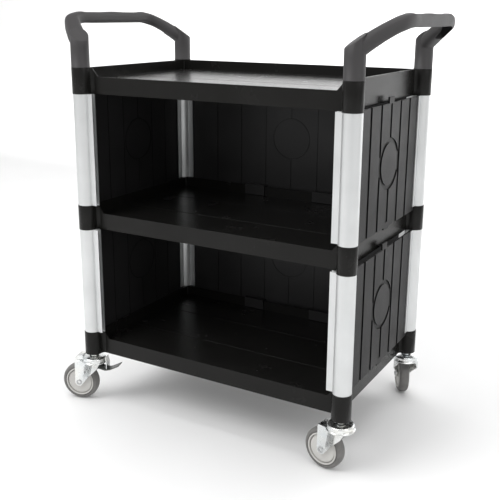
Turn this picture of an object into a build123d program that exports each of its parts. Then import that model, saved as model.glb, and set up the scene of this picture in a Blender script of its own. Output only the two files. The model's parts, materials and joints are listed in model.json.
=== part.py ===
"""Rolling utility cart: three moulded trays on aluminium posts, with panels on three sides.

Units are millimetres. The origin is on the floor, under the centre of the four corner posts.
+X runs from the left end to the right end, +Y from the open front to the rear, +Z is up.
"""

import os
from math import atan2, cos, degrees, pi, radians, sin

from build123d import *

# ---- driving sizes -------------------------------------------------------------------------------
SPAN_X = 675.0  # between the post axes, left to right
SPAN_Y = 410.0  # between the post axes, front to rear
CASTER_H = 127.0  # floor to the underside of the bottom tray's sockets
TRAY_H = 60.0  # skirt bottom to rim top, and the height of a corner socket
TRAY_PITCH = 322.5  # from one tray to the next
POST_R = 20.5
POST_WALL = 1.8
WHEEL_R = 47.0
TRAIL = 38.0  # swivel axis to wheel axle
FIT = 0.2  # radial play of a plugged joint inside one body
RUNNING = 0.05  # radial clearance of a running shaft
EPS = 1.0  # how far a cutting tool overshoots the face it cuts
STOP_GAP = 2.0  # depth left free beyond the end of a plug

TRAY_BASE = {name: CASTER_H + i * TRAY_PITCH for i, name in enumerate(("bottom", "middle", "top"))}
SEAM_Z = TRAY_BASE["top"] + TRAY_H  # where the handles stand on the top tray
CORNERS = {"fl": (-1, -1), "fr": (1, -1), "rl": (-1, 1), "rr": (1, 1)}

# ---- tray ----------------------------------------------------------------------------------------
WALL = 3.0
SKIRT_INSET = 11.5  # skirt face inside the plane of the post axes
SKIRT_X = SPAN_X - 2 * SKIRT_INSET
SKIRT_Y = SPAN_Y - 2 * SKIRT_INSET
SOCKET_R = 21.5
SOCKET_BORE_R = 15.5
WEB_FILLET = 8.0
FLOOR_TOP = 35.0  # above the tray's base
LIP_DROP = 21.0  # how far the front lip is cut below the rim
LIP_RAMP = 18.0
RIM_CHAMFER = 0.8
RIB_T = 2.4
RIB_DEPTH = 12.0
RIB_XS = (-216.0, -108.0, 0.0, 108.0, 216.0)
RIB_YS = (-110.0, 0.0, 110.0)
GROOVE_YS = (-70.0, 70.0)
GROOVE_W = 3.0
GROOVE_DEPTH = 0.8
GROOVE_END_GAP = 12.0
ROD_WEB_Z = 40.0  # floor of the socket bore that the tie rod passes through
ROD_WEB_T = 4.0

# ---- posts and their spigots ---------------------------------------------------------------------
POST_BORE_R = POST_R - POST_WALL
SPIGOT_R = POST_BORE_R - FIT
SPIGOT_L = 18.0
CHANNEL_REACH = 34.0  # post axis to the open edge of a panel channel
CHANNEL_T = 11.4
CHANNEL_LIP = 2.0
SLOT_FLOOR = POST_R + 2.0  # post axis to the closed end of the slot

# ---- panels --------------------------------------------------------------------------------------
PANEL_T = 4.0
PANEL_OUT = 3.5  # outer face beyond the plane of the post axes
PANEL_END_GAP = 1.0  # play in the slot
FOOT_OVERLAP = 9.5  # how far a panel hangs below the rim, outside the skirt
PANEL_LINES = {"side": 58.0, "rear": 75.0}  # spacing of the vertical lines
PANEL_LINE_COUNT = {"side": 2, "rear": 3}  # lines each side of the middle one
OUT_GROOVE_W = 10.0
OUT_GROOVE_D = 2.2
IN_GROOVE_W = 2.4
IN_GROOVE_D = 0.8
RING_R = 52.0
GATE_MARK_R = 3.0
TAB_W = 28.0
TAB_H = 14.0
HOOK_W = 58.0
HOOK_DROP = 24.0
HOOK_T = 2.5
HOOK_XS = (-99.0, 99.0)
HOOK_GAP = 0.5  # between a hook and the tray wall it reaches over

# ---- handles -------------------------------------------------------------------------------------
SLEEVE_R = 21.0
SLEEVE_H = 58.0
GRIP_OUT = 71.6  # grip centre beyond the post axes
GRIP_Z = 109.5  # grip centre above the seam
GRIP_W = 32.0
GRIP_H = 29.0
SHELL = 4.0
# Centre line of one arm: (outwards, along the grip, above the seam), ending on the straight grip.
ARM_PATH = ((0, 0, 54), (24, 16, 74.5), (47, 33, 91.5), (64.5, 52, 103.5), (71.6, 80, 109.5))
ARM_SLOPE = 0.72  # rise of the arm's top face beside the sleeve, per outward length
ARM_START = (38.0, 34.0)  # section width and height where the arm leaves the sleeve
ARM_STEPS = 9
ARM_TAPERED = 0.8  # share of the arm after which the section is the grip's
CHANNEL_START = 0.4  # share of the arm where the open channel begins to deepen
CHANNEL_RUN_IN = 0.35  # share of the arm over which it reaches its full depth
CHANNEL_SHALLOW = 1.0
TOP_ROUNDING = 0.62  # radius of the top corners, as a share of the smaller half size
FOOT_CHAMFER = 1.2
RIB_SETBACK = 5.0  # how far the grip's ribs stay above its underside
GRIP_RIB_YS = (90.0, 128.0, 166.0)
INSERT_R = 7.0
INSERT_L = 12.0

# ---- casters -------------------------------------------------------------------------------------
TYRE_W = 24.0
TYRE_SHOULDER = 7.0
HUB_R = 34.0
HUB_W = 26.0
HUB_BOSS_R = 9.5
HUB_BOSS_PROUD = 1.2  # boss end beyond the hub's half width
HUB_DISC_DEPTH = 2.5  # disc face below the hub's half width
HUB_RING_IN = 28.0  # inner radius of the raised ring
FORK_GAP = 30.0
FORK_T = 2.5
FORK_OUT = FORK_GAP / 2 + FORK_T  # outer face of a leg
CROWN_Z = 105.5
CROWN_REACH = TRAIL + 9.0  # rear edge of the crown plate behind the swivel axis
LEG_BOSS_R = 10.0  # rounding of a leg round the axle
LEG_FRONT = ((-12.0, 64.0), (16.0, 92.0), (21.0, 104.0), (21.0, CROWN_Z))
DRUM_R = 30.0
DRUM_LOW = 103.0
DRUM_TOP = 117.0
DRUM_FLANGE = 1.5  # flange beyond the drum's wall
DRUM_WALL = 2.5
DRUM_FLOOR = 3.0
DRUM_MOUTH_R = 12.0
AXLE_R = 4.0
AXLE_PROUD = 2.0  # bolt end beyond a leg
AXLE_NUT_R = 7.4  # over the corners
AXLE_NUT_H = 4.4
AXLE_NUT_GAP = 0.1
STEM_R = 6.0
STEM_NUT_FLATS = 19.0
STEM_NUT_LOW = 5.5  # below the sockets
STEM_NUT_HIGH = 1.0
NECK_R = 9.0
NECK_GAP = 0.6  # under the neck, above the drum
KING_R = 9.0
KING_H = 3.6
KING_GAP = 0.4  # above the king pin's head, below the drum
RACE_R = 13.0
RACE_LOW = 5.0  # above the drum's underside
RACE_H = 3.0
# Direction from each swivel axis to its wheel, in degrees from +X.
TRAIL_DIRECTION = {"fl": 197.0, "fr": 170.0, "rl": 160.0, "rr": 119.0}

# ---- brake pedals, in the caster's frame: (behind or ahead of the swivel axis, above the floor) ---
BRAKED = ("fl", "rl")
PEDAL_PIVOT = (-8.0, 94.0)
PEDAL_PIN_R = 2.5
PEDAL_PIN_PROUD = 1.5
PEDAL_W = 26.0
PEDAL_TOP = ((-12.0, 98.0), (-2.0, 98.0), (32.0, 86.0), (44.0, 89.0), (68.0, 101.0))
PEDAL_UNDER = ((69.0, 98.8), (45.0, 86.5), (32.0, 83.5), (8.0, 89.0))
PEDAL_SHOE = ((7.5, 80.5), (4.5, 82.0), (-6.0, 90.0), (-12.0, 90.0))
PEDAL_WINDOW = (0.0, 29.0)  # opening between the strap's side walls
PEDAL_SIDE_T = 4.0
PEDAL_WEB_Z = 90.6  # floor of that opening
# Side view of the upright tab that releases the brake, just ahead of the swivel drum.
RELEASE_TAB = ((33.5, 83.0), (36.0, 83.0), (36.5, 104.0), (34.5, 119.0), (32.2, 118.6), (34.0, 104.0))

# ---- tie rods ------------------------------------------------------------------------------------
ROD_R = 4.0
ROD_TOP = SEAM_Z + SPIGOT_L + STOP_GAP + INSERT_L
ROD_NUT_FLATS = 13.0
ROD_NUT_H = 6.5
BUSH_L = 30.0

UP = Vector(0, 0, 1)


def corner_points():
    """The four post axes."""
    return [(sx * SPAN_X / 2, sy * SPAN_Y / 2) for sx, sy in CORNERS.values()]


def rod(radius, low, high, at=(0, 0)):
    """Upright cylinder between two heights."""
    return Pos(at[0], at[1], (low + high) / 2) * Cylinder(radius, high - low)


def ring(outer, inner, low, high, at=(0, 0)):
    """Upright tube between two heights."""
    return rod(outer, low, high, at) - rod(inner, low - EPS, high + EPS, at)


def block(x0, x1, y0, y1, z0, z1):
    """Box between two corners."""
    return Pos((x0 + x1) / 2, (y0 + y1) / 2, (z0 + z1) / 2) * Box(x1 - x0, y1 - y0, z1 - z0)


def cross_rod(radius, x, z, y0, y1):
    """Cylinder along Y."""
    return Pos(x, (y0 + y1) / 2, z) * Rot(90, 0, 0) * Cylinder(radius, y1 - y0)


def plate_xz(points, y0, y1):
    """Flat plate with its outline in XZ, between two Y positions."""
    face = Plane.XZ * make_face(Polyline(*points, close=True))
    return Pos(0, y1, 0) * extrude(face, y1 - y0, dir=(0, -1, 0))


# ---- trays ---------------------------------------------------------------------------------------
def tray_outline():
    """Skirt rectangle joined to four round sockets by filleted webs."""
    with BuildSketch() as outline:
        Rectangle(SKIRT_X, SKIRT_Y)
        with Locations(*corner_points()):
            Circle(SOCKET_R)
        on_skirt = [
            v
            for v in outline.vertices()
            if abs(abs(v.X) - SKIRT_X / 2) < 0.01 or abs(abs(v.Y) - SKIRT_Y / 2) < 0.01
        ]
        fillet(on_skirt, WEB_FILLET)
    return outline.sketch


def tray_well():
    """Plan of the space inside the skirt, around the sockets."""
    with BuildSketch() as well:
        Rectangle(SKIRT_X - 2 * WALL, SKIRT_Y - 2 * WALL)
        with Locations(*corner_points()):
            Circle(SOCKET_R, mode=Mode.SUBTRACT)
    return well.sketch


def lip_cut():
    """Tool that lowers the front lip, with a ramp beside each socket."""
    top_x = SPAN_X / 2 - SOCKET_R
    low_x = top_x - LIP_RAMP
    low_z = TRAY_H - LIP_DROP
    outline = [(-low_x, low_z), (low_x, low_z), (top_x, TRAY_H), (top_x, TRAY_H + EPS)]
    outline += [(-top_x, TRAY_H + EPS), (-top_x, TRAY_H)]
    return plate_xz(outline, -SKIRT_Y / 2 - EPS, -SKIRT_Y / 2 + WALL)


def floor_ribs():
    """Stiffening ribs under the tray floor."""
    top = FLOOR_TOP - WALL
    half_x = SKIRT_X / 2 - WALL
    half_y = SKIRT_Y / 2 - WALL
    ribs = [block(x - RIB_T / 2, x + RIB_T / 2, -half_y, half_y, top - RIB_DEPTH, top) for x in RIB_XS]
    ribs += [block(-half_x, half_x, y - RIB_T / 2, y + RIB_T / 2, top - RIB_DEPTH, top) for y in RIB_YS]
    return ribs


def floor_grooves():
    """Tools for the two shallow drip grooves along the floor."""
    half_x = SKIRT_X / 2 - WALL - GROOVE_END_GAP
    low = FLOOR_TOP - GROOVE_DEPTH
    return [
        block(-half_x, half_x, y - GROOVE_W / 2, y + GROOVE_W / 2, low, FLOOR_TOP + EPS)
        for y in GROOVE_YS
    ]


def socket_tools(plug_below):
    """What each corner socket adds (spigots) and loses (bores), as two lists."""
    added, cut = [], []
    low = -SPIGOT_L if plug_below else 0.0
    for at in corner_points():
        added.append(ring(SPIGOT_R, SOCKET_BORE_R, TRAY_H - EPS, TRAY_H + SPIGOT_L, at))
        if plug_below:
            added.append(ring(SPIGOT_R, SOCKET_BORE_R, low, EPS, at))
        cut.append(rod(SOCKET_BORE_R, low - EPS, ROD_WEB_Z, at))
        cut.append(rod(SOCKET_BORE_R, ROD_WEB_Z + ROD_WEB_T, TRAY_H + SPIGOT_L + EPS, at))
        cut.append(rod(ROD_R + FIT, ROD_WEB_Z - EPS, ROD_WEB_Z + ROD_WEB_T + EPS, at))
    return added, cut


def make_tray(name):
    """One moulded tray at its height."""
    body = extrude(tray_outline(), TRAY_H)
    rim = body.edges().group_by(Axis.Z)[-1]
    body = chamfer(rim, RIM_CHAMFER)
    body -= extrude(tray_well(), FLOOR_TOP - WALL)
    body -= Pos(0, 0, FLOOR_TOP) * extrude(tray_well(), TRAY_H)
    body = body + floor_ribs()
    body = body - [lip_cut(), *floor_grooves()]
    added, cut = socket_tools(plug_below=name != "bottom")
    body = body + added
    body = body - cut
    return Pos(0, 0, TRAY_BASE[name]) * body


# ---- posts ---------------------------------------------------------------------------------------
def post_section(sx, sy):
    """Round tube with one panel channel towards each neighbouring post."""
    section = Circle(POST_R)
    mid = (POST_BORE_R + CHANNEL_REACH) / 2
    reach = CHANNEL_REACH - POST_BORE_R
    slot_mid = (SLOT_FLOOR + CHANNEL_REACH + EPS) / 2
    slot_reach = CHANNEL_REACH + EPS - SLOT_FLOOR
    slot_w = CHANNEL_T - 2 * CHANNEL_LIP
    section += Pos(-sx * mid, 0) * Rectangle(reach, CHANNEL_T)
    section += Pos(0, -sy * mid) * Rectangle(CHANNEL_T, reach)
    section -= Circle(POST_BORE_R)
    section -= Pos(-sx * slot_mid, 0) * Rectangle(slot_reach, slot_w)
    section -= Pos(0, -sy * slot_mid) * Rectangle(slot_w, slot_reach)
    return section


def make_post(corner, tier):
    """One extruded post between two trays."""
    sx, sy = CORNERS[corner]
    below = "bottom" if tier == "lower" else "middle"
    low = TRAY_BASE[below] + TRAY_H
    body = extrude(post_section(sx, sy), TRAY_PITCH - TRAY_H)
    return Pos(sx * SPAN_X / 2, sy * SPAN_Y / 2, low) * body


# ---- panels --------------------------------------------------------------------------------------
def panel_grooves(height, kind):
    """Tools for the lines and the ring on both faces. The panel stands in XZ, outer face at +Y."""
    outer = PANEL_OUT
    inner = PANEL_OUT - PANEL_T
    step = PANEL_LINES[kind]
    count = PANEL_LINE_COUNT[kind]
    tools = []
    for y0, y1, width in (
        (outer - OUT_GROOVE_D, outer + EPS, OUT_GROOVE_W),
        (inner - EPS, inner + IN_GROOVE_D, IN_GROOVE_W),
    ):
        for i in range(-count, count + 1):
            x = i * step
            spans = [(-FOOT_OVERLAP - EPS, height + EPS)]
            if i == 0:
                spans = [(0.0, height / 2 - RING_R), (height / 2 + RING_R, height)]
            for z0, z1 in spans:
                tools.append(block(x - width / 2, x + width / 2, y0, y1, z0, z1))
        hoop = cross_rod(RING_R + width / 2, 0, height / 2, y0, y1)
        hoop -= cross_rod(RING_R - width / 2, 0, height / 2, y0 - EPS, y1 + EPS)
        tools.append(hoop)
    tools.append(cross_rod(GATE_MARK_R, 0, height / 2, inner - EPS, inner + IN_GROOVE_D / 2))
    return tools


def rim_hooks():
    """Hooks that reach over the rear rim into the tray, in the panel's own frame."""
    inner = PANEL_OUT - PANEL_T
    back = -SKIRT_INSET - WALL - HOOK_GAP
    hooks = []
    for x in HOOK_XS:
        left, right = x - HOOK_W / 2, x + HOOK_W / 2
        hooks.append(block(left, right, back - HOOK_T, inner + EPS, FIT, FIT + HOOK_T))
        hooks.append(block(left, right, back - HOOK_T, back, FIT - HOOK_DROP, FIT + EPS))
    return hooks


def make_panel(kind):
    """One moulded panel in its own frame: width along X, outer face towards +Y, foot at Z = 0."""
    span = SPAN_X if kind == "rear" else SPAN_Y
    length = span - 2 * (SLOT_FLOOR + PANEL_END_GAP)
    height = TRAY_PITCH - TRAY_H
    inner = PANEL_OUT - PANEL_T
    body = block(-length / 2, length / 2, inner, PANEL_OUT, -FOOT_OVERLAP, height)
    body = body - panel_grooves(height, kind)
    body = body + [
        block(-TAB_W / 2, TAB_W / 2, inner, PANEL_OUT, -TAB_H, EPS),
        block(-TAB_W / 2, TAB_W / 2, inner, PANEL_OUT, height - EPS, height + TAB_H),
    ]
    if kind == "rear":
        body = body + rim_hooks()
    return body


def place_panel(side, tier):
    """A panel in the post channels of one side and tier."""
    below = "bottom" if tier == "lower" else "middle"
    low = TRAY_BASE[below] + TRAY_H
    turn = {"rear": 0, "left": 90, "right": -90}[side]
    at = {
        "rear": (0, SPAN_Y / 2),
        "left": (-SPAN_X / 2, 0),
        "right": (SPAN_X / 2, 0),
    }[side]
    kind = "rear" if side == "rear" else "side"
    return Pos(at[0], at[1], low) * Rot(0, 0, turn) * make_panel(kind)


# ---- handles -------------------------------------------------------------------------------------
def arm_stations():
    """Point, direction, section size and channel depth along the handle, from sleeve to mid grip."""
    points = [Vector(*p) for p in ARM_PATH]
    curve = Spline(*points, tangents=(points[1] - points[0], Vector(0, 1, 0)))
    stations = []
    for i in range(ARM_STEPS + 1):
        t = i / ARM_STEPS
        blend = min(1.0, t / ARM_TAPERED)
        width = ARM_START[0] + (GRIP_W - ARM_START[0]) * blend
        height = ARM_START[1] + (GRIP_H - ARM_START[1]) * blend
        opened = min(1.0, max(0.0, (t - CHANNEL_START) / CHANNEL_RUN_IN))
        depth = CHANNEL_SHALLOW + (GRIP_H - SHELL - CHANNEL_SHALLOW) * opened
        stations.append((curve @ t, curve % t, width, height, depth))
    middle = Vector(GRIP_OUT, SPAN_Y / 2, GRIP_Z)
    stations.append((middle, Vector(0, 1, 0), GRIP_W, GRIP_H, GRIP_H - SHELL))
    return stations


def section_plane(point, tangent):
    """Plane across the arm, with its x axis level and pointing outwards."""
    heading = Vector(tangent.X, tangent.Y, 0).normalized()
    level = UP.cross(heading)
    return Plane(origin=point, x_dir=level, z_dir=tangent)


def channel_section(width, height, depth):
    """Rounded bar, open along its underside by a channel of the given depth."""
    half_w = width / 2
    half_h = height / 2
    corner = min(half_w, half_h) * TOP_ROUNDING
    inner = half_w - SHELL
    points = []
    for i in range(5):
        a = pi / 2 * i / 4
        points.append((half_w - corner + corner * cos(a), half_h - corner + corner * sin(a)))
    right = [(inner, depth - half_h), (inner, -half_h), (half_w - FOOT_CHAMFER, -half_h)]
    right += [(half_w, FOOT_CHAMFER - half_h)] + points
    left = [(-x, y) for x, y in reversed(right)]
    return make_face(Polyline(*right, *left, close=True))


def loft_arm():
    """Arm and half grip, lofted through the stations."""
    faces = []
    for point, tangent, width, height, depth in arm_stations():
        faces.append(section_plane(point, tangent) * channel_section(width, height, depth))
    return loft(faces, ruled=True)


def grip_ribs():
    """Cross walls inside the grip, between the channel's sides."""
    half = GRIP_W / 2 - SHELL
    low = GRIP_Z - GRIP_H / 2 + RIB_SETBACK
    high = GRIP_Z + GRIP_H / 2 - SHELL
    return [
        block(GRIP_OUT - half, GRIP_OUT + half, y - RIB_T / 2, y + RIB_T / 2, low, high)
        for y in GRIP_RIB_YS
    ]


def sleeve_top_tool():
    """Tool that slants the sleeve's top to the slope of the arm above it."""
    outwards = degrees(atan2(ARM_PATH[1][1], ARM_PATH[1][0]))
    slope = degrees(atan2(ARM_SLOPE, 1))
    big = 8 * SLEEVE_R
    above = Pos(0, 0, big / 2) * Box(3 * big, big, big)
    slanted = Pos(-SLEEVE_R, 0, SLEEVE_H) * Rot(0, -slope, 0) * above
    return Rot(0, 0, outwards) * slanted


def half_handle():
    """Front half of the right handle: post axis at the origin, seam at Z = 0, mid grip at SPAN_Y / 2."""
    sleeve = rod(SLEEVE_R, 0, 2 * SLEEVE_H) - sleeve_top_tool()
    sleeve -= rod(POST_BORE_R, -EPS, SPIGOT_L + STOP_GAP)
    sleeve -= rod(INSERT_R + FIT / 2, SPIGOT_L, SPIGOT_L + STOP_GAP + INSERT_L)
    return sleeve + loft_arm() + grip_ribs()


def make_handle(side):
    """Left or right push handle, standing on the top tray's spigots."""
    front = half_handle()
    rear = Pos(0, SPAN_Y, 0) * mirror(front, Plane.XZ)
    body = Pos(SPAN_X / 2, -SPAN_Y / 2, SEAM_Z) * (front + rear)
    if side == "left":
        body = mirror(body, Plane.YZ)
    return body


# ---- tie rods, bushes and stems ------------------------------------------------------------------
def hexagon_prism(flats, low, high, at=(0, 0)):
    """Upright hexagonal nut or bolt head."""
    radius = flats / 3**0.5
    return Pos(at[0], at[1], low) * extrude(RegularPolygon(radius, 6), high - low)


def tie_rods():
    """Four long bolts that clamp the trays, posts and handles together."""
    head_top = TRAY_BASE["bottom"] + ROD_WEB_Z
    solids = []
    for at in corner_points():
        shank = rod(ROD_R, head_top - EPS, ROD_TOP, at)
        solids.append(shank + hexagon_prism(ROD_NUT_FLATS, head_top - ROD_NUT_H, head_top, at))
    return solids


def handle_inserts():
    """Threaded inserts at the bottom of the handle sleeves."""
    low = SEAM_Z + SPIGOT_L + STOP_GAP
    return [ring(INSERT_R, ROD_R + RUNNING, low, low + INSERT_L, at) for at in corner_points()]


def stem_bushes():
    """Threaded bushes in the bottom sockets that take the caster stems."""
    low = CASTER_H
    outer = SOCKET_BORE_R - FIT
    return [ring(outer, STEM_R + RUNNING, low, low + BUSH_L, at) for at in corner_points()]


def caster_stems():
    """Caster stems: threaded end, neck with a hexagon, race cone and king pin below the fork."""
    king_top = DRUM_LOW - KING_GAP
    race_low = DRUM_LOW + RACE_LOW
    solids = []
    for at in corner_points():
        stem = rod(STEM_R, king_top - KING_H, CASTER_H + BUSH_L - STOP_GAP, at)
        stem += rod(NECK_R, DRUM_TOP + NECK_GAP, CASTER_H, at)
        stem += hexagon_prism(STEM_NUT_FLATS, CASTER_H - STEM_NUT_LOW, CASTER_H - STEM_NUT_HIGH, at)
        stem += rod(KING_R, king_top - KING_H, king_top, at)
        stem += rod(RACE_R, race_low, race_low + RACE_H, at)
        solids.append(stem)
    return solids


# ---- one caster, in its own frame: swivel axis at the origin, wheel trailing towards -X ----------
def leg_outline():
    """Side view of a fork leg: square at the top, rounded round the axle."""
    arc = []
    for angle in range(180, 326, 15):
        x = -TRAIL + LEG_BOSS_R * cos(radians(angle))
        z = WHEEL_R + LEG_BOSS_R * sin(radians(angle))
        arc.append((x, z))
    return [(-CROWN_REACH, CROWN_Z), *arc, *LEG_FRONT]


def fork():
    """Stamped fork: two legs under a crown plate, with the swivel drum at its front."""
    half = FORK_GAP / 2
    outline = leg_outline()
    body = plate_xz(outline, -FORK_OUT, -half) + plate_xz(outline, half, FORK_OUT)
    body += block(-CROWN_REACH, 0, -FORK_OUT, FORK_OUT, CROWN_Z - FORK_T, CROWN_Z)
    body += rod(DRUM_R, DRUM_LOW, DRUM_TOP)
    body += rod(DRUM_R + DRUM_FLANGE, DRUM_LOW, DRUM_LOW + FORK_T)
    body -= rod(DRUM_R - DRUM_WALL, DRUM_LOW + DRUM_FLOOR, DRUM_TOP - DRUM_WALL)
    body -= rod(DRUM_MOUTH_R, DRUM_TOP - DRUM_WALL - EPS, DRUM_TOP + EPS)
    body -= rod(STEM_R + RUNNING, DRUM_LOW - EPS, DRUM_LOW + DRUM_FLOOR + EPS)
    body -= cross_rod(AXLE_R + FIT, -TRAIL, WHEEL_R, -FORK_OUT - EPS, FORK_OUT + EPS)
    return body


def braked_fork():
    """Fork with running holes for the pedal pin."""
    px, pz = PEDAL_PIVOT
    holes = cross_rod(PEDAL_PIN_R + RUNNING, px, pz, -FORK_OUT - EPS, FORK_OUT + EPS)
    return fork() - holes


def axle():
    """Axle bolt with a low hexagon head and a lock nut."""
    reach = FORK_OUT + AXLE_PROUD
    body = cross_rod(AXLE_R, -TRAIL, WHEEL_R, -reach, reach)
    nut = Rot(90, 0, 0) * extrude(RegularPolygon(AXLE_NUT_R, 6), AXLE_NUT_H / 2, both=True)
    offset = FORK_OUT + AXLE_NUT_GAP + AXLE_NUT_H / 2
    for side in (-1, 1):
        body += Pos(-TRAIL, side * offset, WHEEL_R) * nut
    return body


def wheel_section(points):
    """Solid of revolution round the axle from (radius, offset along the axle) points."""
    profile = make_face(Polyline(*points, close=True))
    return Pos(-TRAIL, 0, WHEEL_R) * revolve(profile, Axis.Y)


def tyre():
    """Grey tread ring with rounded shoulders."""
    half = TYRE_W / 2
    steps = 8
    points = [(HUB_R, -half)]
    for i in range(steps + 1):
        a = pi / 2 * i / steps
        radius = WHEEL_R - TYRE_SHOULDER * (1 - sin(a))
        points.append((radius, -half + TYRE_SHOULDER * (1 - cos(a))))
    points += [(r, -o) for r, o in reversed(points)]
    return wheel_section(points)


def hub():
    """Moulded hub: boss on the axle, thin disc, raised ring and rim."""
    half = HUB_W / 2
    side = [
        (AXLE_R + RUNNING, half + HUB_BOSS_PROUD),
        (HUB_BOSS_R, half + HUB_BOSS_PROUD),
        (HUB_BOSS_R + 1.5, half - HUB_DISC_DEPTH),
        (HUB_RING_IN - 2.0, half - HUB_DISC_DEPTH),
        (HUB_RING_IN, half - HUB_DISC_DEPTH - 1.0),
        (HUB_RING_IN + 2.0, half + 0.4),
        (HUB_R - 1.0, half + 0.4),
        (HUB_R - FIT / 10, half - 1.0),
    ]
    points = side + [(r, -o) for r, o in reversed(side)]
    return wheel_section(points)


def pedal():
    """Brake pedal: a bent strap on a pivot pin, with a shoe above the tread and a release tab."""
    px, pz = PEDAL_PIVOT
    half = PEDAL_W / 2
    strap = plate_xz([*PEDAL_TOP, *PEDAL_UNDER, *PEDAL_SHOE], -half, half)
    inner = half - PEDAL_SIDE_T
    strap -= block(*PEDAL_WINDOW, -inner, inner, PEDAL_WEB_Z, PEDAL_TOP[0][1] + 4 * EPS)
    strap += plate_xz(RELEASE_TAB, -half, half)
    reach = FORK_OUT + PEDAL_PIN_PROUD
    return strap + cross_rod(PEDAL_PIN_R, px, pz, -reach, reach)


def place_caster(shape, corner):
    """Put a caster piece at its corner, turned to its trailing direction."""
    sx, sy = CORNERS[corner]
    turn = TRAIL_DIRECTION[corner] - 180.0
    return Pos(sx * SPAN_X / 2, sy * SPAN_Y / 2, 0) * Rot(0, 0, turn) * shape


# ---- output --------------------------------------------------------------------------------------
def build_nodes():
    """Every node's shape, by name."""
    nodes = {f"{name}_tray": make_tray(name) for name in TRAY_BASE}
    for tier in ("lower", "upper"):
        for corner in CORNERS:
            nodes[f"{tier}_post_{corner}"] = make_post(corner, tier)
        for side in ("left", "right", "rear"):
            nodes[f"{tier}_panel_{side}"] = place_panel(side, tier)
    for side in ("left", "right"):
        nodes[f"{side}_handle"] = make_handle(side)
    nodes["tie_rods"] = Compound(children=tie_rods())
    nodes["handle_inserts"] = Compound(children=handle_inserts())
    nodes["stem_bushes"] = Compound(children=stem_bushes())
    nodes["caster_stems"] = Compound(children=caster_stems())
    for corner in CORNERS:
        frame = braked_fork() if corner in BRAKED else fork()
        nodes[f"fork_{corner}"] = place_caster(frame, corner)
        nodes[f"axle_{corner}"] = place_caster(axle(), corner)
        nodes[f"tyre_{corner}"] = place_caster(tyre(), corner)
        nodes[f"hub_{corner}"] = place_caster(hub(), corner)
        if corner in BRAKED:
            nodes[f"pedal_{corner}"] = place_caster(pedal(), corner)
    return nodes


os.makedirs("parts", exist_ok=True)
for node, shape in build_nodes().items():
    export_step(shape, f"parts/{node}.step")
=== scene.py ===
import json
from math import atan2, cos, pi, radians, sin, sqrt

import bmesh
import bpy
from mathutils import Matrix, Vector


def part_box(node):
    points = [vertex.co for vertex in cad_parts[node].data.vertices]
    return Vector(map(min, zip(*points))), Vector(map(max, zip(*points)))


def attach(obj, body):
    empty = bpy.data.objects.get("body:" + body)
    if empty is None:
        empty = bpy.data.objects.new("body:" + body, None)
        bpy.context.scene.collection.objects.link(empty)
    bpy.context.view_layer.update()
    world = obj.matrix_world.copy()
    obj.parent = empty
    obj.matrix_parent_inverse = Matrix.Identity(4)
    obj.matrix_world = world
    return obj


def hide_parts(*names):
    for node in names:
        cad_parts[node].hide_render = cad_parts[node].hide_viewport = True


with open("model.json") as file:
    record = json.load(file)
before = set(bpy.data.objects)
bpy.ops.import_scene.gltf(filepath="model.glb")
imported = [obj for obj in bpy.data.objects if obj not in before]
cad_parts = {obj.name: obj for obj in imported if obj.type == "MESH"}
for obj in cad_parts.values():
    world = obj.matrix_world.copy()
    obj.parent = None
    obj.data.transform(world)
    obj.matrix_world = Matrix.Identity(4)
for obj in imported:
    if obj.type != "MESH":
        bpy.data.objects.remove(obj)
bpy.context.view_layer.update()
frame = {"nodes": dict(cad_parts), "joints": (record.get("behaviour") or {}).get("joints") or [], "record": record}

RECORD = frame["record"]
JOINTS = {joint["name"]: joint for joint in frame["joints"]}
CORNERS = {"fl": (-1, -1), "fr": (1, -1), "rl": (-1, 1), "rr": (1, 1)}
BRAKED = ("fl", "rl")

# ---- sizes shared by several pieces, all in metres -----------------------------------------------
_, TOP_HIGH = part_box("top_tray")
_, HANDLE_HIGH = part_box("right_handle")
SPIGOT_STAND = 0.018
SEAM_Z = TOP_HIGH.z - SPIGOT_STAND  # top of the tray's sockets; the spigots stand above it
POST_X = 0.3375
POST_Y = 0.205


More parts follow.
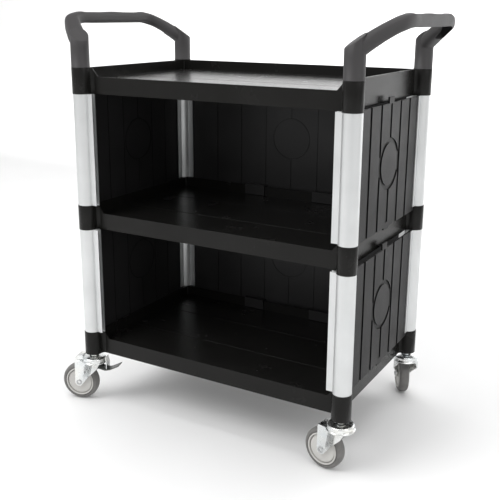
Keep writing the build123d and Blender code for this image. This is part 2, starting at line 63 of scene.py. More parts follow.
# ==== node helpers ================================================================================
class Graph:
    """Small helper round a material's node tree."""

    def __init__(self, name):
        self.material = bpy.data.materials.new(name)
        self.material.use_nodes = True
        self.tree = self.material.node_tree
        self.shader = self.tree.nodes["Principled BSDF"]
        coords = self.tree.nodes.new("ShaderNodeTexCoord")
        self.position = coords.outputs["Object"]

    def set(self, **values):
        """Constant values on the shader's own sockets, spaces written as underscores."""
        for key, value in values.items():
            self.shader.inputs[key.replace("_", " ")].default_value = value
        return self

    def link(self, output, key):
        self.tree.links.new(output, self.shader.inputs[key])

    def scaled(self, stretch):
        """Object position stretched per axis, for grain that runs one way."""
        node = self.tree.nodes.new("ShaderNodeMapping")
        node.inputs["Scale"].default_value = stretch
        self.tree.links.new(self.position, node.inputs["Vector"])
        return node.outputs["Vector"]

    def noise(self, scale, detail=4.0, roughness=0.55, stretch=None):
        node = self.tree.nodes.new("ShaderNodeTexNoise")
        node.inputs["Scale"].default_value = scale
        node.inputs["Detail"].default_value = detail
        node.inputs["Roughness"].default_value = roughness
        source = self.scaled(stretch) if stretch else self.position
        self.tree.links.new(source, node.inputs["Vector"])
        return node.outputs["Fac"]

    def cells(self, scale):
        node = self.tree.nodes.new("ShaderNodeTexVoronoi")
        node.inputs["Scale"].default_value = scale
        self.tree.links.new(self.position, node.inputs["Vector"])
        return node.outputs["Distance"]

    def range(self, value, low, high, from_low=0.3, from_high=0.7):
        node = self.tree.nodes.new("ShaderNodeMapRange")
        node.inputs["From Min"].default_value = from_low
        node.inputs["From Max"].default_value = from_high
        node.inputs["To Min"].default_value = low
        node.inputs["To Max"].default_value = high
        self.tree.links.new(value, node.inputs["Value"])
        return node.outputs["Result"]

    def math(self, operation, first, second):
        node = self.tree.nodes.new("ShaderNodeMath")
        node.operation = operation
        for socket, value in zip(node.inputs, (first, second)):
            if isinstance(value, (int, float)):
                socket.default_value = value
            else:
                self.tree.links.new(value, socket)
        return node.outputs["Value"]

    def colours(self, value, stops):
        """Colour ramp from (position, colour) stops."""
        node = self.tree.nodes.new("ShaderNodeValToRGB")
        ramp = node.color_ramp
        while len(ramp.elements) < len(stops):
            ramp.elements.new(0.5)
        for element, (at, colour) in zip(ramp.elements, stops):
            element.position = at
            element.color = (*colour, 1.0)
        self.tree.links.new(value, node.inputs["Fac"])
        return node.outputs["Color"]

    def layer(self, axis, low, high):
        """1 where the distance from the middle plane across an axis lies between two values."""
        split = self.tree.nodes.new("ShaderNodeSeparateXYZ")
        self.tree.links.new(self.position, split.inputs["Vector"])
        away = self.math("ABSOLUTE", split.outputs[axis], 0.0)
        above = self.math("GREATER_THAN", away, low)
        below = self.math("LESS_THAN", away, high)
        return self.math("MULTIPLY", above, below)

    def darker(self, colour, mask, shade):
        """The colour, scaled down to the shade where the mask is 1."""
        keep = self.range(mask, 1.0, shade, 0.0, 1.0)
        node = self.tree.nodes.new("ShaderNodeVectorMath")
        node.operation = "SCALE"
        self.tree.links.new(colour, node.inputs["Vector"])
        self.tree.links.new(keep, node.inputs["Scale"])
        return node.outputs["Vector"]

    def by_facing(self, upright, level):
        """One value on upright walls, blending into another on level surfaces."""
        geometry = self.tree.nodes.new("ShaderNodeNewGeometry")
        split = self.tree.nodes.new("ShaderNodeSeparateXYZ")
        self.tree.links.new(geometry.outputs["Normal"], split.inputs["Vector"])
        return self.range(split.outputs["Z"], upright, level, WALL_TILT, LEVEL_TILT)

    def worn_edges(self, amount):
        """Mask that is high along exposed edges, broken up by noise."""
        geometry = self.tree.nodes.new("ShaderNodeNewGeometry")
        edge = self.range(geometry.outputs["Pointiness"], 0.0, amount, 0.52, 0.60)
        return self.math("MULTIPLY", edge, self.noise(90.0))

    def bump(self, height, distance, strength=1.0, after=None):
        node = self.tree.nodes.new("ShaderNodeBump")
        node.inputs["Strength"].default_value = strength
        node.inputs["Distance"].default_value = distance
        self.tree.links.new(height, node.inputs["Height"])
        if after is not None:
            self.tree.links.new(after, node.inputs["Normal"])
        self.tree.links.new(node.outputs["Normal"], self.shader.inputs["Normal"])
        return node.outputs["Normal"]


# ==== materials ===================================================================================
GRAIN_SCALE = 1400.0
# Painted shade: the share of its colour left on a groove's floor, standing in for shadow in the groove.
GROOVE_SHADE = 0.12  # brightness left on a groove's floor
WALL_TILT = 0.3  # a normal's upward part, up to which a surface counts as a wall
LEVEL_TILT = 0.9  # the upward part from which it counts as level


def moulded_plastic(
    name, dark, light, rough, grain=0.00005, specular=(0.5, 0.5), groove=None
):
    """Injection-moulded plastic: fine grain, slow cloudy variation and rubbed patches.

    specular is (on upright walls, on level surfaces). Where the two differ the socket is linked,
    and a linked specular level is lost when the material is exported.
    groove is (axis, low, high): a layer of the object, by distance from the frame's middle plane
    across that axis, that holds the floors of its grooves. Painted shade darkens these floors, standing in for the
    shadow a deeper groove would hold.
    """
    g = Graph(name)
    cloud = g.noise(7.0, 5.0)
    rub = g.noise(14.0, 4.0, 0.6)
    colour = g.colours(cloud, [(0.3, dark), (0.7, light)])
    if groove:
        # painted shade on the groove floors
        colour = g.darker(colour, g.layer(*groove), GROOVE_SHADE)
    g.link(colour, "Base Color")
    g.link(g.range(rub, rough[0], rough[1], 0.3, 0.7), "Roughness")
    on_walls, on_level = specular
    if on_walls == on_level:
        g.set(Specular_IOR_Level=on_walls)
    else:
        g.link(g.by_facing(on_walls, on_level), "Specular IOR Level")
    g.bump(g.noise(GRAIN_SCALE, 2.0), grain)
    return g.material


def anodised_aluminium(name):
    """Satin anodised extrusion: fine upright drawing lines in a metal surface."""
    g = Graph(name)
    lines = g.noise(60.0, 3.0, 0.6, stretch=(22.0, 22.0, 0.25))
    cloud = g.noise(9.0, 4.0)
    g.link(g.colours(cloud, [(0.3, (0.63, 0.64, 0.64)), (0.7, (0.71, 0.72, 0.72))]), "Base Color")
    g.link(g.range(lines, 0.36, 0.48), "Roughness")
    g.set(Metallic=0.85)
    g.bump(lines, 0.00002)
    return g.material


def bright_zinc(name):
    """Clear-passivated zinc plate: bright, with faint blue and straw tints and scuffs."""
    g = Graph(name)
    tint = g.noise(22.0, 5.0)
    stops = [(0.25, (0.70, 0.74, 0.76)), (0.55, (0.80, 0.81, 0.80)), (0.8, (0.80, 0.78, 0.71))]
    g.link(g.colours(tint, stops), "Base Color")
    scuff = g.noise(140.0, 6.0, 0.7)
    g.link(g.range(scuff, 0.17, 0.34), "Roughness")
    g.set(Metallic=1.0)
    g.bump(g.noise(260.0, 4.0), 0.00003)
    return g.material


def dark_steel(name):
    """Coated pressed steel, rubbed bright on its edges."""
    g = Graph(name)
    wear = g.worn_edges(1.0)
    g.link(g.colours(wear, [(0.15, (0.10, 0.105, 0.10)), (0.6, (0.42, 0.42, 0.41))]), "Base Color")
    g.link(g.range(g.noise(120.0, 5.0), 0.28, 0.48), "Roughness")
    g.set(Metallic=0.75)
    g.bump(g.noise(500.0, 3.0), 0.00004)
    return g.material


def plain_steel(name):
    """Turned or rolled steel of bolts and rods."""
    g = Graph(name)
    marks = g.noise(300.0, 4.0, 0.6)
    g.link(g.colours(marks, [(0.3, (0.42, 0.43, 0.44)), (0.7, (0.62, 0.62, 0.62))]), "Base Color")
    g.link(g.range(marks, 0.25, 0.42), "Roughness")
    g.set(Metallic=1.0)
    g.bump(marks, 0.00002)
    return g.material


def turned_brass(name):
    """Turned brass of the inserts inside the handle sleeves."""
    g = Graph(name)
    marks = g.noise(260.0, 4.0, 0.6, stretch=(1.0, 1.0, 6.0))
    g.link(g.colours(marks, [(0.3, (0.55, 0.38, 0.16)), (0.7, (0.74, 0.56, 0.28))]), "Base Color")
    g.link(g.range(marks, 0.22, 0.4), "Roughness")
    g.set(Metallic=1.0)
    g.bump(marks, 0.00002)
    return g.material


def grey_tread(name):
    """Non-marking grey rubber: dull, finely pitted, dustier in patches."""
    g = Graph(name)
    dust = g.noise(34.0, 6.0, 0.65)
    g.link(g.colours(dust, [(0.3, (0.125, 0.122, 0.118)), (0.75, (0.20, 0.195, 0.188))]), "Base Color")
    g.link(g.range(g.noise(90.0, 5.0), 0.48, 0.7), "Roughness")
    g.set(Specular_IOR_Level=0.4)
    pits = g.bump(g.cells(900.0), 0.00008, 0.6)
    g.bump(g.noise(60.0, 5.0), 0.0002, 0.5, after=pits)
    return g.material


# Layers of the side and rear panels whose groove floors get painted shade.
SIDE_GROOVES = ("X", 0.3375, 0.3395)
REAR_GROOVES = ("Y", 0.2050, 0.2070)
PANEL_TONES = ((0.0150, 0.0146, 0.0150), (0.0215, 0.0210, 0.0215), (0.34, 0.44))

MATERIALS = {
    "tray_plastic": moulded_plastic(
        "tray_plastic",
        (0.0075, 0.0073, 0.0067),
        (0.0105, 0.0102, 0.0095),
        (0.23, 0.28),
        specular=(0.16, 0.42),
    ),
    "panel_plastic": moulded_plastic(
        "panel_side", *PANEL_TONES, specular=(0.10, 0.3), groove=SIDE_GROOVES
    ),
    "panel_rear": moulded_plastic(
        "panel_rear", *PANEL_TONES, specular=(0.3, 0.3), groove=REAR_GROOVES
    ),
    "handle_plastic": moulded_plastic(
        "handle_plastic",
        (0.034, 0.032, 0.033),
        (0.046, 0.044, 0.045),
        (0.46, 0.58),
        grain=0.0001,
        specular=(0.45, 0.08),
    ),
    "hub_plastic": moulded_plastic(
        "hub_plastic", (0.50, 0.49, 0.47), (0.60, 0.59, 0.565), (0.38, 0.5)
    ),
    "bush_plastic": moulded_plastic(
        "bush_plastic", (0.02, 0.02, 0.02), (0.03, 0.03, 0.03), (0.4, 0.55)
    ),
    "post_aluminium": anodised_aluminium("post_aluminium"),
    "fork_zinc": bright_zinc("fork_zinc"),
    "stem_zinc": bright_zinc("stem_zinc"),
    "axle_steel": plain_steel("axle_steel"),
    "rod_steel": plain_steel("rod_steel"),
    "insert_brass": turned_brass("insert_brass"),
    "pedal_steel": dark_steel("pedal_steel"),
    "tyre_grey": grey_tread("tyre_grey"),
}


# ==== mesh helpers ================================================================================
SHARP_ANGLE = radians(35)


def object_from(name, bm, material):
    """Finish a bmesh as a smooth-shaded object with sharp edges where faces turn quickly."""
    bmesh.ops.remove_doubles(bm, verts=bm.verts, dist=1e-6)
    bmesh.ops.recalc_face_normals(bm, faces=bm.faces)
    mesh = bpy.data.meshes.new(name)
    bm.to_mesh(mesh)
    bm.free()
    mesh.shade_smooth()
    mesh.set_sharp_from_angle(angle=SHARP_ANGLE)
    mesh.materials.append(material)
    piece = bpy.data.objects.new(name, mesh)
    bpy.context.scene.collection.objects.link(piece)
    return piece


def apply_modifiers(piece):
    """Replace a piece's mesh by what its modifiers make of it."""
    graph = bpy.context.evaluated_depsgraph_get()
    done = bpy.data.meshes.new_from_object(piece.evaluated_get(graph))
    old = piece.data
    piece.modifiers.clear()
    piece.data = done
    bpy.data.meshes.remove(old)


def soften(piece, width, segments=2):
    """Round a piece's sharp edges."""
    bevel = piece.modifiers.new("soften", "BEVEL")
    bevel.width = width
    bevel.segments = segments
    bevel.limit_method = "ANGLE"
    bevel.angle_limit = SHARP_ANGLE
    bevel.use_clamp_overlap = True
    bevel.harden_normals = True


def join_solid(piece, tool, operation="UNION"):
    """Boolean of two closed pieces; the tool is used up."""
    boolean = piece.modifiers.new("join", "BOOLEAN")
    boolean.operation = operation
    boolean.solver = "EXACT"
    boolean.object = tool
    apply_modifiers(piece)
    bpy.data.objects.remove(tool)


def skin_rings(bm, rings):
    """Join rings of points into a tube of quads, closed at both ends."""
    rows = [[bm.verts.new(point) for point in ring] for ring in rings]
    for low, high in zip(rows, rows[1:]):
        for i in range(len(low)):
            j = (i + 1) % len(low)
            bm.faces.new((low[i], low[j], high[j], high[i]))
    bm.faces.new(list(reversed(rows[0])))
    bm.faces.new(rows[-1])


def lathe(profile, steps=72, place=Matrix.Identity(4)):
    """Solid of revolution round Z from a closed list of (radius, height) points."""
    bm = bmesh.new()
    rows = []
    for k in range(steps):
        a = 2 * pi * k / steps
        rows.append([bm.verts.new(place @ Vector((r * cos(a), r * sin(a), z))) for r, z in profile])
    count = len(profile)
    for k in range(steps):
        row, following = rows[k], rows[(k + 1) % steps]
        for i in range(count):
            j = (i + 1) % count
            bm.faces.new((row[i], following[i], following[j], row[j]))
    return bm


def slab(outline, low, high):
    """Plate with its outline in the local XZ plane, from Y = low to Y = high."""
    bm = bmesh.new()
    near = [bm.verts.new((x, low, z)) for x, z in outline]
    far = [bm.verts.new((x, high, z)) for x, z in outline]
    bm.faces.new(near)
    bm.faces.new(list(reversed(far)))
    for i in range(len(outline)):
        j = (i + 1) % len(outline)
        bm.faces.new((near[j], near[i], far[i], far[j]))
    return bm


def arc_points(centre, radius, start, end, count):
    """Points round an arc, angles in degrees."""
    points = []
    for i in range(count + 1):
        a = radians(start + (end - start) * i / count)
        points.append((centre[0] + radius * cos(a), centre[1] + radius * sin(a)))
    return points


def smooth_step(t):
    """Ease from 0 to 1."""
    t = min(1.0, max(0.0, t))
    return t * t * (3 - 2 * t)


# ==== handles =====================================================================================
SLEEVE_R = 0.021
BORE_R = 0.0187
BORE_DEPTH = 0.020
GRIP_HALF = 0.016
GRIP_OUT = HANDLE_HIGH.x - POST_X - GRIP_HALF  # grip centre beyond the post axes
GRIP_Z = 0.1095
GRIP_START = 0.120  # where the straight grip begins, from the sleeve's axis
GRIP_STEPS = 10
# Centre line of an arm above the seam: outwards, along the grip, up.
ARM_LINE = (
    (0.0, 0.0, 0.054),
    (0.024, 0.016, 0.0745),
    (0.047, 0.033, 0.0915),
    (0.0645, 0.052, 0.1035),
    (GRIP_OUT, 0.080, GRIP_Z),
    (GRIP_OUT, GRIP_START, GRIP_Z),
)
ARM_SLOPE = 0.72  # rise of the arm's top face beside the sleeve, per outward length
SECTION_POINTS = 48
SWELL = 0.0012
HANDLE_SHARP_ANGLE = radians(40)
ARM_W = 0.036  # bar sections, arm and grip
ARM_SPREAD = 0.005
ARM_H = 0.034
GRIP_W = 0.032
GRIP_H = 0.029
SLEEVE_STEPS = 64
LIP = 0.0005  # how far the sleeve's foot stands out
SLEEVE_TOP = 0.0590  # lowest point of the slanted top
POCKET_HALF = 0.0115
POCKET_LOW = -0.022
POCKET_HIGH = 0.0110
POCKET_CORNER = 0.004
POCKET_FROM = 0.35  # share of the arm that stays solid
RIB_COUNT = 7
RIB_PITCH = 0.038
RIB_HALF_W = 0.0118
RIB_HALF_T = 0.0009
RIB_DOWN = 0.009  # below and above the grip's centre
RIB_UP = 0.0115


def spline_points(anchors, per_span):
    """Catmull-Rom curve through anchor points."""
    pts = [Vector(p) for p in anchors]
    pts = [pts[0] * 2 - pts[1]] + pts + [pts[-1] * 2 - pts[-2]]
    out = []
    for i in range(1, len(pts) - 2):
        a, b, c, d = pts[i - 1 : i + 3]
        for k in range(per_span):
            t = k / per_span
            square = (2 * a - 5 * b + 4 * c - d) * t * t
            cube = (3 * b - a - 3 * c + d) * t * t * t
            out.append(0.5 * (2 * b + (c - a) * t + square + cube))
    out.append(pts[-2])
    return out


def bar_section(width, height, squareness):
    """Superellipse of the given width and height; squareness 2 is an ellipse."""
    ring = []
    for k in range(SECTION_POINTS):
        a = 2 * pi * k / SECTION_POINTS
        c, s = cos(a), sin(a)
        x = width / 2 * abs(c) ** (2 / squareness) * (1 if c >= 0 else -1)
        y = height / 2 * abs(s) ** (2 / squareness) * (1 if s >= 0 else -1)
        ring.append((x, y))
    return ring


def grip_swell(along):
    """Height along the grip: a soft rise in the middle and a small one near each end."""
    middle = SWELL * (1 - smooth_step(abs(along - POST_Y) / 0.045))
    end = 0.8 * SWELL * (1 - smooth_step(abs(abs(along - POST_Y) - 0.118) / 0.012))
    return middle + end - SWELL


def handle_line():
    """Centre line of the whole handle, front sleeve to rear sleeve, with the share of the arm done."""
    arm = spline_points(ARM_LINE, 9)
    front = [(p, min(1.0, i / (len(arm) * 0.75))) for i, p in enumerate(arm)]
    grip = []
    for k in range(1, GRIP_STEPS):
        along = GRIP_START + (POST_Y - GRIP_START) * k / GRIP_STEPS
        grip.append((Vector((GRIP_OUT, along, GRIP_Z)), 1.0))
    half = front + grip
    middle = [(Vector((GRIP_OUT, POST_Y, GRIP_Z)), 1.0)]
    back = [(Vector((p.x, 2 * POST_Y - p.y, p.z)), done) for p, done in reversed(half)]
    return half + middle + back


def across_line(line, i):
    """Level and upward directions across the line at one of its points."""
    before = line[max(i - 1, 0)][0]
    after = line[min(i + 1, len(line) - 1)][0]
    tangent = (after - before).normalized()
    level = Vector((tangent.y, -tangent.x, 0)).normalized()
    return level, level.cross(tangent)


def bar_rings():
    """Section rings of arms and grip, in the frame of the front right post's seam."""
    line = handle_line()
    rings = []
    for i, (point, done) in enumerate(line):
        level, up = across_line(line, i)
        shape = smooth_step(done)
        start = smooth_step(done / 0.2)
        width = (ARM_W + ARM_SPREAD * start) * (1 - shape) + GRIP_W * shape
        height = ARM_H * (1 - shape) + GRIP_H * shape + grip_swell(point.y)
        squareness = 2.6 + 0.5 * shape
        lift = grip_swell(point.y) / 2
        section = bar_section(width, height, squareness)
        rings.append([tuple(point + level * x + up * (y + lift)) for x, y in section])
    return rings


def sleeve_solid(at_y, toward):
    """Round sleeve with a bore below and a slanted top hidden in the arm."""
    bm = bmesh.new()
    heading = Vector((0.83, 0.55 * toward, 0)).normalized()

    def ring(radius, z):
        points = []
        for k in range(SLEEVE_STEPS):
            a = 2 * pi * k / SLEEVE_STEPS
            points.append(Vector((radius * cos(a), at_y + radius * sin(a), z)))
        return points

    rings = [ring(0.0005, BORE_DEPTH), ring(BORE_R, BORE_DEPTH), ring(BORE_R, 0.0)]
    rings += [ring(SLEEVE_R, 0.0), ring(SLEEVE_R + LIP, 0.0005), ring(SLEEVE_R + LIP, 0.0014)]
    rings += [ring(SLEEVE_R, 0.0020), ring(SLEEVE_R, 0.045)]
    for shrink, drop in ((0.0, 0.0012), (0.0010, 0.0)):
        top = []
        for point in ring(SLEEVE_R - shrink, 0.0):
            outward = (point - Vector((0, at_y, 0))).dot(heading)
            height = SLEEVE_TOP + (outward + SLEEVE_R) * ARM_SLOPE - drop
            top.append(Vector((point.x, point.y, height)))
        rings.append(top)
    skin_rings(bm, rings)
    return bm


def open_underside(piece):
    """Cut the long pocket that leaves the grip and arms hollow from below."""
    line = handle_line()
    rings = []
    for i, (point, done) in enumerate(line):
        if done < POCKET_FROM:
            continue
        level, up = across_line(line, i)
        right = [(POCKET_HALF, POCKET_LOW), (POCKET_HALF, POCKET_HIGH - POCKET_CORNER)]
        right.append((POCKET_HALF - POCKET_CORNER, POCKET_HIGH))
        ring = right + [(-x, y) for x, y in reversed(right)]
        rings.append([tuple(point + level * x + up * y) for x, y in ring])
    bm = bmesh.new()
    skin_rings(bm, rings)
    tool = object_from("pocket_tool", bm, MATERIALS["handle_plastic"])
    join_solid(piece, tool, "DIFFERENCE")


def grip_ribs():
    """Thin cross walls inside the pocket."""
    bm = bmesh.new()
    for k in range(RIB_COUNT):
        y = POST_Y + (k - RIB_COUNT // 2) * RIB_PITCH
        corners = [
            Vector((GRIP_OUT + sx * RIB_HALF_W, y + sy * RIB_HALF_T, z))
            for z in (GRIP_Z - RIB_DOWN, GRIP_Z + RIB_UP)
            for sx, sy in ((-1, -1), (1, -1), (1, 1), (-1, 1))
        ]
        low = [bm.verts.new(c) for c in corners[:4]]
        high = [bm.verts.new(c) for c in corners[4:]]
        bm.faces.new(list(reversed(low)))
        bm.faces.new(high)
        for i in range(4):
            j = (i + 1) % 4
            bm.faces.new((low[i], low[j], high[j], high[i]))
    return bm


def build_handle(side):
    """One push handle: two sleeves and a swept bar joined into one moulding."""
    material = MATERIALS["handle_plastic"]
    bm = bmesh.new()
    skin_rings(bm, bar_rings())
    piece = object_from(f"{side}_push_handle", bm, material)
    for at_y, toward in ((0.0, 1), (2 * POST_Y, -1)):
        sleeve = object_from("sleeve_tool", sleeve_solid(at_y, toward), material)
        join_solid(piece, sleeve)
    open_underside(piece)
    join_solid(piece, object_from("rib_tool", grip_ribs(), material))
    mirror = -1 if side == "left" else 1
    place = Matrix.Diagonal((mirror, 1, 1, 1)) @ Matrix.Translation((POST_X, -POST_Y, SEAM_Z))
    piece.data.transform(place)
    if mirror < 0:
        piece.data.flip_normals()
    piece.data.set_sharp_from_angle(angle=HANDLE_SHARP_ANGLE)
    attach(piece, "cart")
    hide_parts(f"{side}_handle")


# ==== casters =====================================================================================
# Each caster is made with its swivel axis at the origin and its wheel trailing towards -X.
WHEEL_R = 0.047
TRAIL = 0.038
TYRE_HALF = 0.012
SHOULDER = 0.0065
HUB_R = 0.034
HUB_HALF = 0.013
LEG_IN = 0.015
LEG_OUT = 0.0175
CROWN_Z = 0.1055
CROWN_REAR = -0.047
LEG_BOSS_R = 0.010
LEG_FRONT = ((-0.012, 0.064), (0.016, 0.092), (0.021, 0.103), (0.021, CROWN_Z))
CREASE_X = -0.018
FLARE = 0.60  # outward slope of a leg in front of its crease
LEG_CUTS = (-0.018, -0.012, -0.006, 0.0, 0.006, 0.012, 0.017)
RIVET_R = 0.0074
DRUM_R = 0.030
DRUM_LOW = 0.103
DRUM_TOP = 0.117
PEDAL_HALF = 0.013
TAB_HALF = 0.010
PEDAL_STRAP = (
    (-0.012, 0.098),
    (-0.002, 0.098),
    (0.032, 0.086),
    (0.044, 0.089),
    (0.068, 0.101),
    (0.069, 0.0988),
    (0.045, 0.0865),
    (0.032, 0.0835),
    (0.008, 0.089),
    (0.0075, 0.0805),
    (0.0045, 0.082),
    (-0.006, 0.090),
    (-0.012, 0.090),
)
RELEASE_TAB = (
    (0.0335, 0.0865),
    (0.0360, 0.0872),
    (0.0365, 0.104),
    (0.0345, 0.119),
    (0.0322, 0.1186),
    (0.034, 0.104),
)
ON_AXLE = Matrix.Translation((-TRAIL, 0, WHEEL_R)) @ Matrix.Rotation(pi / 2, 4, "X")


def both_sides(profile):
    """Closed profile from one side's (radius, offset) points and their mirror image."""
    return list(profile) + [(r, -o) for r, o in reversed(profile)]


def tyre_mesh():
    """Rubber ring: slightly crowned tread, round shoulders, a shallow step round each wall."""
    side = [(HUB_R, TYRE_HALF - 0.0012), (HUB_R + 0.0042, TYRE_HALF - 0.0012)]
    side += [(HUB_R + 0.0048, TYRE_HALF - 0.0002), (WHEEL_R - SHOULDER - 0.0007, TYRE_HALF)]
    shoulder_at = (WHEEL_R - SHOULDER - 0.0006, TYRE_HALF - SHOULDER)
    side += arc_points(shoulder_at, SHOULDER, 84, 6, 9)
    side += [(WHEEL_R - 0.0003, TYRE_HALF - SHOULDER - 0.0015), (WHEEL_R, 0.0012)]
    return lathe(both_sides(side), 120, ON_AXLE)


def hub_mesh():
    """Moulded hub: boss, dished disc, deep groove and the raised ring over the tyre's edge."""
    side = [
        (0.00405, HUB_HALF + 0.0011),
        (0.0082, HUB_HALF + 0.0011),
        (0.0090, HUB_HALF + 0.0005),
        (0.0098, HUB_HALF - 0.0022),
        (0.0120, HUB_HALF - 0.0028),
        (0.0290, HUB_HALF - 0.0022),
        (0.0306, HUB_HALF - 0.0027),
        (0.0309, HUB_HALF - 0.0070),
        (0.0328, HUB_HALF - 0.0070),
        (0.0331, HUB_HALF - 0.0004),
        (0.0338, HUB_HALF + 0.0004),
        (0.0354, HUB_HALF + 0.0004),
        (0.0361, HUB_HALF - 0.0002),
        (0.0364, HUB_HALF - 0.0012),
        (0.0356, HUB_HALF - 0.0022),
        (HUB_R - 0.0002, HUB_HALF - 0.0024),
    ]
    return lathe(both_sides(side), 120, ON_AXLE)


def leg_mesh(side):
    """One fork leg: flat behind its crease, flaring out round the drum in front of it."""
    outline = [(CROWN_REAR, CROWN_Z)]
    outline += arc_points((-TRAIL, WHEEL_R), LEG_BOSS_R, 180, 325, 12)
    outline += list(LEG_FRONT)
    bm = slab(outline, LEG_IN, LEG_OUT)
    for x in LEG_CUTS:
        everything = bm.verts[:] + bm.edges[:] + bm.faces[:]
        bmesh.ops.bisect_plane(bm, geom=everything, plane_co=(x, 0, 0), plane_no=(1, 0, 0))
    for vert in bm.verts:
        sloped = max(0.0, vert.co.x - CREASE_X) * FLARE
        round_drum = sqrt((DRUM_R + 0.0012) ** 2 - min(abs(vert.co.x), DRUM_R) ** 2) - LEG_OUT
        if vert.co.x > CREASE_X:
            vert.co.y += min(sloped, round_drum)
        vert.co.y *= side
    return bm


def drum_mesh():
    """Pressed swivel drum: bottom flange, round shoulder and the mouth that the neck passes."""
    profile = [(0.0061, DRUM_LOW), (DRUM_R + 0.0010, DRUM_LOW), (DRUM_R + 0.0015, DRUM_LOW + 0.0005)]
    profile += [(DRUM_R + 0.0015, DRUM_LOW + 0.0018), (DRUM_R + 0.0008, DRUM_LOW + 0.0024)]
    profile += [(DRUM_R - 0.0002, DRUM_LOW + 0.0028), (DRUM_R - 0.0006, DRUM_TOP - 0.0045)]
    profile += arc_points((DRUM_R - 0.0046, DRUM_TOP - 0.0040), 0.0040, 0, 90, 6)
    profile += [(0.0125, DRUM_TOP), (0.0120, DRUM_TOP - 0.0005), (0.0120, DRUM_TOP - 0.0025)]
    profile += [(DRUM_R - 0.0030, DRUM_TOP - 0.0040), (DRUM_R - 0.0030, DRUM_LOW + 0.0030)]
    profile += [(0.0061, DRUM_LOW + 0.0030)]
    return lathe(profile, 96)


def guard_mesh():
    """Rounded cover over the brake linkage, behind the drum."""
    outline = [(-0.0465, CROWN_Z - 0.0010), (-0.0465, 0.1090)]
    outline += arc_points((-0.0365, 0.1090), 0.0100, 170, 95, 6)
    outline += [(-0.0270, 0.1195), (-0.0262, CROWN_Z - 0.0010)]
    return slab(outline, -0.0125, 0.0125)


def crown_mesh():
    """Top plate that joins the two legs."""
    bm = bmesh.new()
    bmesh.ops.create_grid(bm, x_segments=1, y_segments=1, size=0.5)
    length = -CROWN_REAR + 0.004
    for vert in bm.verts:
        vert.co.x = CROWN_REAR + (vert.co.x + 0.5) * length
        vert.co.y *= 2 * LEG_OUT
        vert.co.z = CROWN_Z
    plate = bmesh.ops.extrude_face_region(bm, geom=bm.faces[:])
    for item in plate["geom"]:
        if isinstance(item, bmesh.types.BMVert):
            item.co.z -= LEG_OUT - LEG_IN
    return bm


def build_fork(corner, place, braked):
    """Zinc fork of one caster."""
    material = MATERIALS["fork_zinc"]
    fork = object_from(f"fork_{corner}_stamped", crown_mesh(), material)
    for side in (-1, 1):
        join_solid(fork, object_from("leg_tool", leg_mesh(side), material))
    if braked:
        join_solid(fork, object_from("guard_tool", guard_mesh(), material))
    soften(fork, 0.0011, 3)
    apply_modifiers(fork)
    join_solid(fork, object_from("drum_tool", drum_mesh(), material))
    finish_piece(fork, place, f"swivel_{corner}", f"fork_{corner}")


def rivet_mesh():
    """Hollow axle rivet: round flanges outside the legs, each with a deep centre."""
    end = LEG_OUT + 0.0001
    side = [
        (0.0001, end - 0.0060),
        (0.0032, end - 0.0060),
        (0.0034, end + 0.0004),
        (0.0040, end + 0.0014),
        (0.0062, end + 0.0014),
        (0.0071, end + 0.0009),
        (RIVET_R, end + 0.0001),
        (RIVET_R - 0.0002, end),
        (0.0040, end),
    ]
    return lathe(both_sides(side), 60, ON_AXLE)


def build_axle(corner, place):
    """Axle rivet through both legs."""
    axle = object_from(f"axle_{corner}_rivet", rivet_mesh(), MATERIALS["axle_steel"])
    finish_piece(axle, place, f"swivel_{corner}", f"axle_{corner}")


def build_pedal(corner, place):
    """Dark brake pedal with its shoe, and the zinc release tab that stands up beside the drum."""
    strap = slab(PEDAL_STRAP, -PEDAL_HALF, PEDAL_HALF)
    pedal = object_from(f"pedal_{corner}_pressed", strap, MATERIALS["pedal_steel"])
    soften(pedal, 0.0009, 3)
    finish_piece(pedal, place, f"brake_{corner}", f"pedal_{corner}")
    tab_mesh = slab(RELEASE_TAB, -TAB_HALF, TAB_HALF)
    tab = object_from(f"pedal_{corner}_release_tab", tab_mesh, MATERIALS["fork_zinc"])
    soften(tab, 0.0007, 2)
    finish_piece(tab, place, f"brake_{corner}", None)


def finish_piece(piece, place, body, node):
    """Put a piece at its caster and hand it to its body."""
    piece.data.transform(place)
    piece.data.set_sharp_from_angle(angle=SHARP_ANGLE)
    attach(piece, body)
    if node:
        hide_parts(node)


def build_caster(corner):
    """All pieces of one caster, turned the way its joints say."""
    swivel = Vector(JOINTS[f"swivel_{corner}_turn"]["pos_m"])
    wheel = Vector(JOINTS[f"wheel_{corner}_spin"]["pos_m"])
    forward = (swivel - wheel).to_2d()
    turn = atan2(forward.y, forward.x)
    place = Matrix.Translation((swivel.x, swivel.y, 0)) @ Matrix.Rotation(turn, 4, "Z")
    braked = corner in BRAKED
    tyre = object_from(f"tyre_{corner}_tread", tyre_mesh(), MATERIALS["tyre_grey"])
    finish_piece(tyre, place, f"wheel_{corner}", f"tyre_{corner}")
    hub = object_from(f"hub_{corner}_moulded", hub_mesh(), MATERIALS["hub_plastic"])
    finish_piece(hub, place, f"wheel_{corner}", f"hub_{corner}")
    build_fork(corner, place, braked)
    build_axle(corner, place)
    if braked:
        build_pedal(corner, place)


# ==== CAD nodes that keep their shape =============================================================
def dress_cad_nodes():
    """Give every CAD node its slot's material, the rear panel its own, and soften the trays' edges."""
    slots = {part["node"]: part["material_slot"] for part in RECORD["subparts"]}
    for name, node in frame["nodes"].items():
        finish = "panel_rear" if name.endswith("panel_rear") else slots[name]
        node.data.materials.clear()
        node.data.materials.append(MATERIALS[finish])
        if name.endswith("_tray"):
            weld = node.modifiers.new("weld", "WELD")
            weld.merge_threshold = 0.00001
            soften(node, 0.0007, 2)


# ==== set =========================================================================================
FLOOR_DROP = 0.0005  # keeps the floor clear of the tyres
BACKDROP_R = 3.0
BACKDROP_STEPS = 12


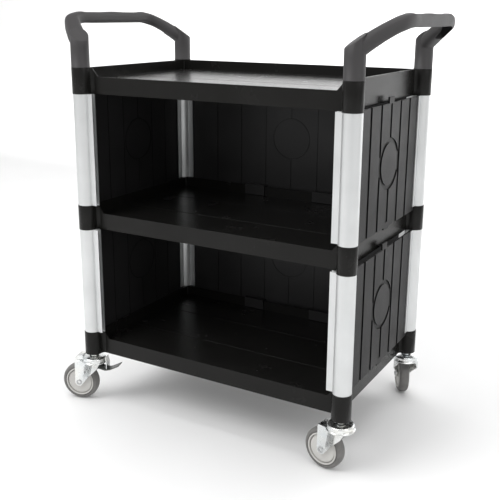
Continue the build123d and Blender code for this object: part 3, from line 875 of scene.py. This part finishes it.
def studio_floor():
    """Pale floor that curves up into a backdrop far behind the cart."""
    bm = bmesh.new()
    half_width, front, back, rise = 14.0, -12.0, 9.0, 7.0
    profile = [(front, 0.0), (back - BACKDROP_R, 0.0)]
    for i in range(1, BACKDROP_STEPS + 1):
        a = pi / 2 * i / BACKDROP_STEPS
        profile.append((back - BACKDROP_R + BACKDROP_R * sin(a), BACKDROP_R - BACKDROP_R * cos(a)))
    profile.append((back, rise))
    rows = []
    for y, z in profile:
        rows.append([bm.verts.new((x, y, z - FLOOR_DROP)) for x in (-half_width, half_width)])
    for low, high in zip(rows, rows[1:]):
        bm.faces.new((low[0], low[1], high[1], high[0]))
    mesh = bpy.data.meshes.new("studio_floor")
    bm.to_mesh(mesh)
    bm.free()
    mesh.shade_smooth()
    floor = bpy.data.objects.new("studio_floor", mesh)
    bpy.context.scene.collection.objects.link(floor)
    g = Graph("studio_paper")
    tones = [(0.3, (0.86, 0.86, 0.86)), (0.7, (0.89, 0.89, 0.89))]
    g.link(g.colours(g.noise(1.5), tones), "Base Color")
    g.set(Roughness=0.9)
    mesh.materials.append(g.material)


WORLD_STRENGTH = 0.70
# Name, place, aim, size in metres and power in watts.
LIGHTS = (
    ("key", (-1.8, -2.6, 3.4), (0, 0, 0.5), (2.6, 2.6), 90),
    ("fill", (3.4, -1.0, 2.2), (0, 0, 0.5), (2.0, 2.4), 18),
    ("top", (0.0, 0.4, 3.6), (0, 0, 0.8), (3.0, 2.2), 60),
    ("backdrop", (0.0, 3.0, 3.5), (0, 9.0, 2.0), (14.0, 2.0), 800),
)


def area_light(name, at, target, size, power):
    """Rectangular lamp aimed at a point."""
    data = bpy.data.lights.new(name, "AREA")
    data.shape = "RECTANGLE"
    data.size, data.size_y = size
    data.energy = power
    lamp = bpy.data.objects.new(name, data)
    lamp.location = at
    lamp.rotation_euler = (Vector(target) - Vector(at)).to_track_quat("-Z", "Y").to_euler()
    bpy.context.scene.collection.objects.link(lamp)


def studio_light():
    """White surroundings with large soft lights above and to the sides."""
    world = bpy.data.worlds.new("studio")
    bpy.context.scene.world = world
    world.use_nodes = True
    background = world.node_tree.nodes["Background"]
    background.inputs["Color"].default_value = (1.0, 1.0, 1.0, 1.0)
    background.inputs["Strength"].default_value = WORLD_STRENGTH
    for light in LIGHTS:
        area_light(*light)


# Camera pose fitted with only a small shift, so uprights converge slightly.
CAMERA_AT = Vector((0.925, -1.617, 0.953))
CAMERA_TURN = radians(29.9)
CAMERA_DOWN = radians(14.9)
CAMERA_ROLL = radians(0.33)
LENS_MM = 57.2
SHIFT_Y = -0.05
SENSOR_MM = 36.0


def camera():
    """Camera at the fitted place and direction."""
    forward = Vector(
        (
            -sin(CAMERA_TURN) * cos(CAMERA_DOWN),
            cos(CAMERA_TURN) * cos(CAMERA_DOWN),
            -sin(CAMERA_DOWN),
        )
    )
    right = Vector((cos(CAMERA_TURN), sin(CAMERA_TURN), 0.0))
    up = right.cross(forward)
    rolled_right = right * cos(CAMERA_ROLL) + up * sin(CAMERA_ROLL)
    rolled_up = up * cos(CAMERA_ROLL) - right * sin(CAMERA_ROLL)
    turn = Matrix((rolled_right, rolled_up, -forward)).transposed()
    data = bpy.data.cameras.new("camera")
    data.lens = LENS_MM
    data.sensor_width = SENSOR_MM
    data.shift_y = SHIFT_Y
    eye = bpy.data.objects.new("camera", data)
    eye.matrix_world = Matrix.Translation(CAMERA_AT) @ turn.to_4x4()
    bpy.context.scene.collection.objects.link(eye)
    bpy.context.scene.camera = eye


bpy.context.scene.view_settings.view_transform = "Standard"
dress_cad_nodes()
for side_name in ("left", "right"):
    build_handle(side_name)
for corner_name in CORNERS:
    build_caster(corner_name)
studio_floor()
studio_light()
camera()
